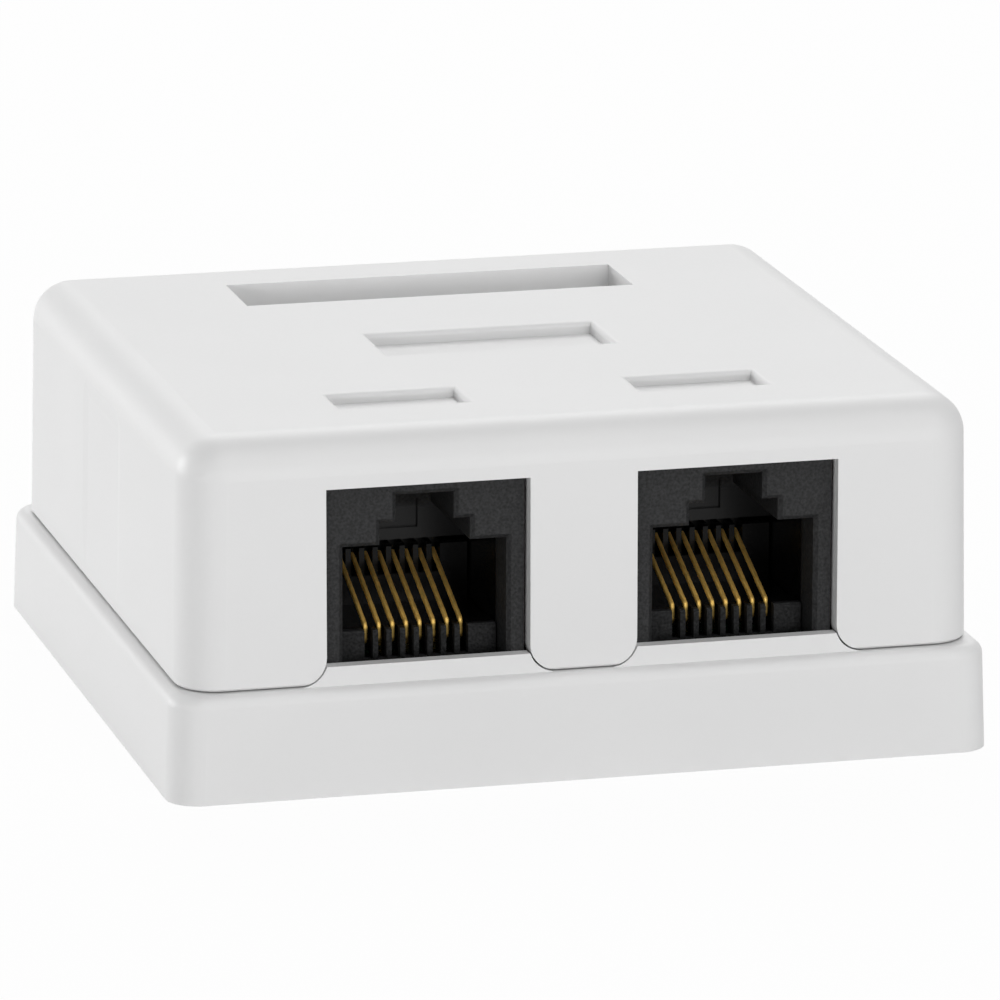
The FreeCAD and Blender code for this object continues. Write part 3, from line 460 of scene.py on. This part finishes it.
def strip_faces(rings, around):
    """Faces of a strip of `rings` rings of `around` points each: quads between neighbouring rings, and at
    each end triangles from the ring to its middle point. They all face outwards."""
    first = np.arange(rings - 1)[:, None] * around + np.arange(around)[None, :]
    second = np.arange(rings - 1)[:, None] * around + (np.arange(around)[None, :] + 1) % around
    quads = np.stack([first, second, second + around, first + around], axis=2).reshape(-1, 4)
    ring = np.arange(around)
    following = (ring + 1) % around
    last = (rings - 1) * around
    low = np.stack([following, ring, np.full(around, rings * around)], axis=1)
    high = np.stack([last + ring, last + following, np.full(around, rings * around + 1)], axis=1)
    return quads.tolist() + low.tolist() + high.tolist()


def new_piece(name, points, faces, material):
    """A mesh object at the origin, shaded smooth but for its sharp edges."""
    mesh = bpy.data.meshes.new(name)
    mesh.from_pydata(points.tolist(), [], faces)
    mesh.materials.append(material)
    mesh.shade_smooth()
    mesh.set_sharp_from_angle(angle=SHARP_EDGE)
    piece = bpy.data.objects.new(name, mesh)
    bpy.context.scene.collection.objects.link(piece)
    return piece


# ---------------------------------------------------------------- operators

class JACKBOX_OT_shells(bpy.types.Operator):
    """Finishes the cover and the tray in matte white ABS"""
    bl_idname = "jackbox.shells"
    bl_label = "Finish the cover and tray"

    def execute(self, context):
        dress(("cover", "base_tray"), white_abs(context.scene.jack_box.shell))
        return {"FINISHED"}


class JACKBOX_OT_jacks(bpy.types.Operator):
    """Finishes the jack housings and contact inserts in grained black plastic"""
    bl_idname = "jackbox.jacks"
    bl_label = "Finish the jacks"

    def execute(self, context):
        settings = context.scene.jack_box.jack
        dress(["jack_housing_" + side for side in SIDES],
              black_plastic("black_plastic", settings, settings.specular))
        dress(["contact_carrier_" + side for side in SIDES],
              black_plastic("insert_plastic", settings, settings.insert_specular))
        return {"FINISHED"}


class JACKBOX_OT_contacts(bpy.types.Operator):
    """Forms the sixteen gold contacts, each bent from one strip"""
    bl_idname = "jackbox.contacts"
    bl_label = "Form the contacts"

    def execute(self, context):
        settings = context.scene.jack_box.contact
        material = gold_plating(settings)
        profile = rounded_square(settings.thickness, settings.edge)
        board_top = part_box("circuit_board")[1].z
        for side in SIDES:
            for number in CONTACTS:
                node = "contact_wire_%s_%d" % (side, number)
                low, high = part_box(node)
                riser = low.y + settings.thickness / 2
                tail = riser + settings.tail_set + settings.tail_stagger * ((number - 1) % 2)
                run = board_top + settings.run_height
                line = bent_line([
                    (tail, low.z),
                    (tail, run),
                    (riser, run),
                    (riser, board_top + settings.riser_height),
                    (riser + settings.tip_set, board_top + settings.tip_height),
                ], settings.bend, settings.bend_steps)
                points = carried_profile(line, profile, (low.x + high.x) / 2, settings.edge)
                piece = new_piece("gold_contact_%s_%d" % (side, number), points,
                                  strip_faces(len(line) + 2, len(profile)), material)
                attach(piece, "base")
                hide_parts(node)
        return {"FINISHED"}


class JACKBOX_OT_board(bpy.types.Operator):
    """Finishes the circuit board in green solder mask"""
    bl_idname = "jackbox.board"
    bl_label = "Finish the board"

    def execute(self, context):
        dress(("circuit_board",), solder_mask(context.scene.jack_box.inside))
        return {"FINISHED"}


class JACKBOX_OT_blocks(bpy.types.Operator):
    """Finishes the punch-down blocks and their tinned blades"""
    bl_idname = "jackbox.blocks"
    bl_label = "Finish the blocks"

    def execute(self, context):
        settings = context.scene.jack_box.inside
        dress(["idc_block_" + side for side in SIDES], block_plastic(settings))
        tin = brushed_metal("tinned_blade", settings.tin, roughness=0.32, line=0.06 * MM,
                            stretch=(1.0, 1.0, 0.06))
        dress(["idc_blade_%s_%d" % (side, number) for side in SIDES for number in CONTACTS], tin)
        return {"FINISHED"}


class JACKBOX_OT_screws(bpy.types.Operator):
    """Finishes the two board screws in zinc-plated steel"""
    bl_idname = "jackbox.screws"
    bl_label = "Finish the screws"

    def execute(self, context):
        settings = context.scene.jack_box.inside
        steel = brushed_metal("screw_steel", settings.steel, roughness=0.36, line=0.08 * MM,
                              stretch=(1.0, 0.1, 1.0))
        dress(["board_screw_" + side for side in SIDES], steel)
        return {"FINISHED"}


def turned(place, pan, tilt, roll):
    """The matrix of a camera at a place: it looks along +Y, panned to the left about Z, tilted up and
    rolled clockwise about its own line of sight."""
    forward = Vector((-math.sin(pan) * math.cos(tilt), math.cos(pan) * math.cos(tilt), math.sin(tilt)))
    right = Vector((math.cos(pan), math.sin(pan), 0.0))
    above = right.cross(forward)
    right, above = (right * math.cos(roll) + above * math.sin(roll),
                    above * math.cos(roll) - right * math.sin(roll))
    matrix = Matrix((right, above, -forward)).transposed().to_4x4()
    matrix.translation = place
    return matrix


def add_lamp(name, direction, size, level):
    """A square lamp that faces the middle of the box. A lamp of power P at distance d adds P / (pi d) **
    2 of a surface's own colour where it shines straight on, so the power is the level times (pi d) **
    2."""
    light = bpy.data.lights.new(name, "AREA")
    light.shape = "SQUARE"
    light.size = size
    light.energy = level * (math.pi * LAMP_DISTANCE) ** 2
    lamp = bpy.data.objects.new(name, light)
    direction = Vector(direction).normalized()
    middle = Vector((0.0, 0.0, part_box("cover")[1].z / 2))
    lamp.matrix_world = (Matrix.Translation(middle + direction * LAMP_DISTANCE)
                         @ direction.to_track_quat("Z", "Y").to_matrix().to_4x4())
    bpy.context.scene.collection.objects.link(lamp)


class JACKBOX_OT_stage(bpy.types.Operator):
    """Sets out the pale floor, the soft lamps, the white surroundings and the camera"""
    bl_idname = "jackbox.stage"
    bl_label = "Set the stage"

    def execute(self, context):
        settings = context.scene.jack_box.stage
        scene = context.scene
        scene.view_settings.view_transform = "Standard"
        self.floor(settings)
        self.surroundings(scene, settings)
        for name, direction, size in LAMPS:
            add_lamp(name + "_lamp", direction, size, getattr(settings, name))
        camera = bpy.data.cameras.new("camera")
        camera.lens = settings.lens
        camera.sensor_width = SENSOR
        stand = bpy.data.objects.new("camera", camera)
        stand.matrix_world = turned(settings.place, *settings.turn)
        scene.collection.objects.link(stand)
        scene.camera = stand
        return {"FINISHED"}

    def floor(self, settings):
        """A flat square grid about the box, a hair under it."""
        half = settings.floor_size / 2
        line = np.linspace(-half, half, FLOOR_POINTS)
        x, y = np.meshgrid(line, line)
        points = np.stack([x.ravel(), y.ravel(), np.full(x.size, -FLOOR_GAP)], axis=1)
        cells = np.arange(FLOOR_POINTS - 1)
        first = (cells[:, None] * FLOOR_POINTS + cells[None, :]).ravel()
        faces = np.stack([first, first + 1, first + FLOOR_POINTS + 1, first + FLOOR_POINTS], axis=1).tolist()
        new_piece("floor", points, faces, pale_floor(settings))

    def surroundings(self, scene, settings):
        """Even white light, which shows at full white where it is seen."""
        world = bpy.data.worlds.new("surroundings")
        world.use_nodes = True
        tree = world.node_tree
        background = tree.nodes["Background"]
        background.inputs["Color"].default_value = (1.0, 1.0, 1.0, 1.0)
        strength = tree.nodes.new("ShaderNodeMapRange")
        feed(tree, strength.inputs["Value"], seen_rays(tree))
        feed(tree, strength.inputs["To Min"], settings.sky)
        feed(tree, strength.inputs["To Max"], 1.0)
        feed(tree, background.inputs["Strength"], strength.outputs["Result"])
        scene.world = world


class JACKBOX_PT_panel(bpy.types.Panel):
    bl_idname = "JACKBOX_PT_panel"
    bl_label = "Jack Box"
    bl_space_type = "VIEW_3D"
    bl_region_type = "UI"
    bl_category = "Jack Box"

    def draw(self, context):
        settings = context.scene.jack_box
        for operator, group in STEPS:
            box = self.layout.box()
            box.operator(operator.bl_idname)
            for name in getattr(settings, group).__annotations__:
                box.prop(getattr(settings, group), name)


STEPS = (
    (JACKBOX_OT_shells, "shell"),
    (JACKBOX_OT_jacks, "jack"),
    (JACKBOX_OT_contacts, "contact"),
    (JACKBOX_OT_board, "inside"),
    (JACKBOX_OT_blocks, "inside"),
    (JACKBOX_OT_screws, "inside"),
    (JACKBOX_OT_stage, "stage"),
)
CLASSES = (ShellSettings, JackSettings, ContactSettings, InsideSettings, StageSettings, JackBoxSettings,
           *(operator for operator, group in STEPS), JACKBOX_PT_panel)


def register():
    for each in CLASSES:
        bpy.utils.register_class(each)
    bpy.types.Scene.jack_box = PointerProperty(type=JackBoxSettings)


def unregister():
    del bpy.types.Scene.jack_box
    for each in reversed(CLASSES):
        bpy.utils.unregister_class(each)


def main():
    register()
    bpy.ops.jackbox.shells()
    bpy.ops.jackbox.jacks()
    bpy.ops.jackbox.contacts()
    bpy.ops.jackbox.board()
    bpy.ops.jackbox.blocks()
    bpy.ops.jackbox.screws()
    bpy.ops.jackbox.stage()


if __name__ == "__main__":
    main()
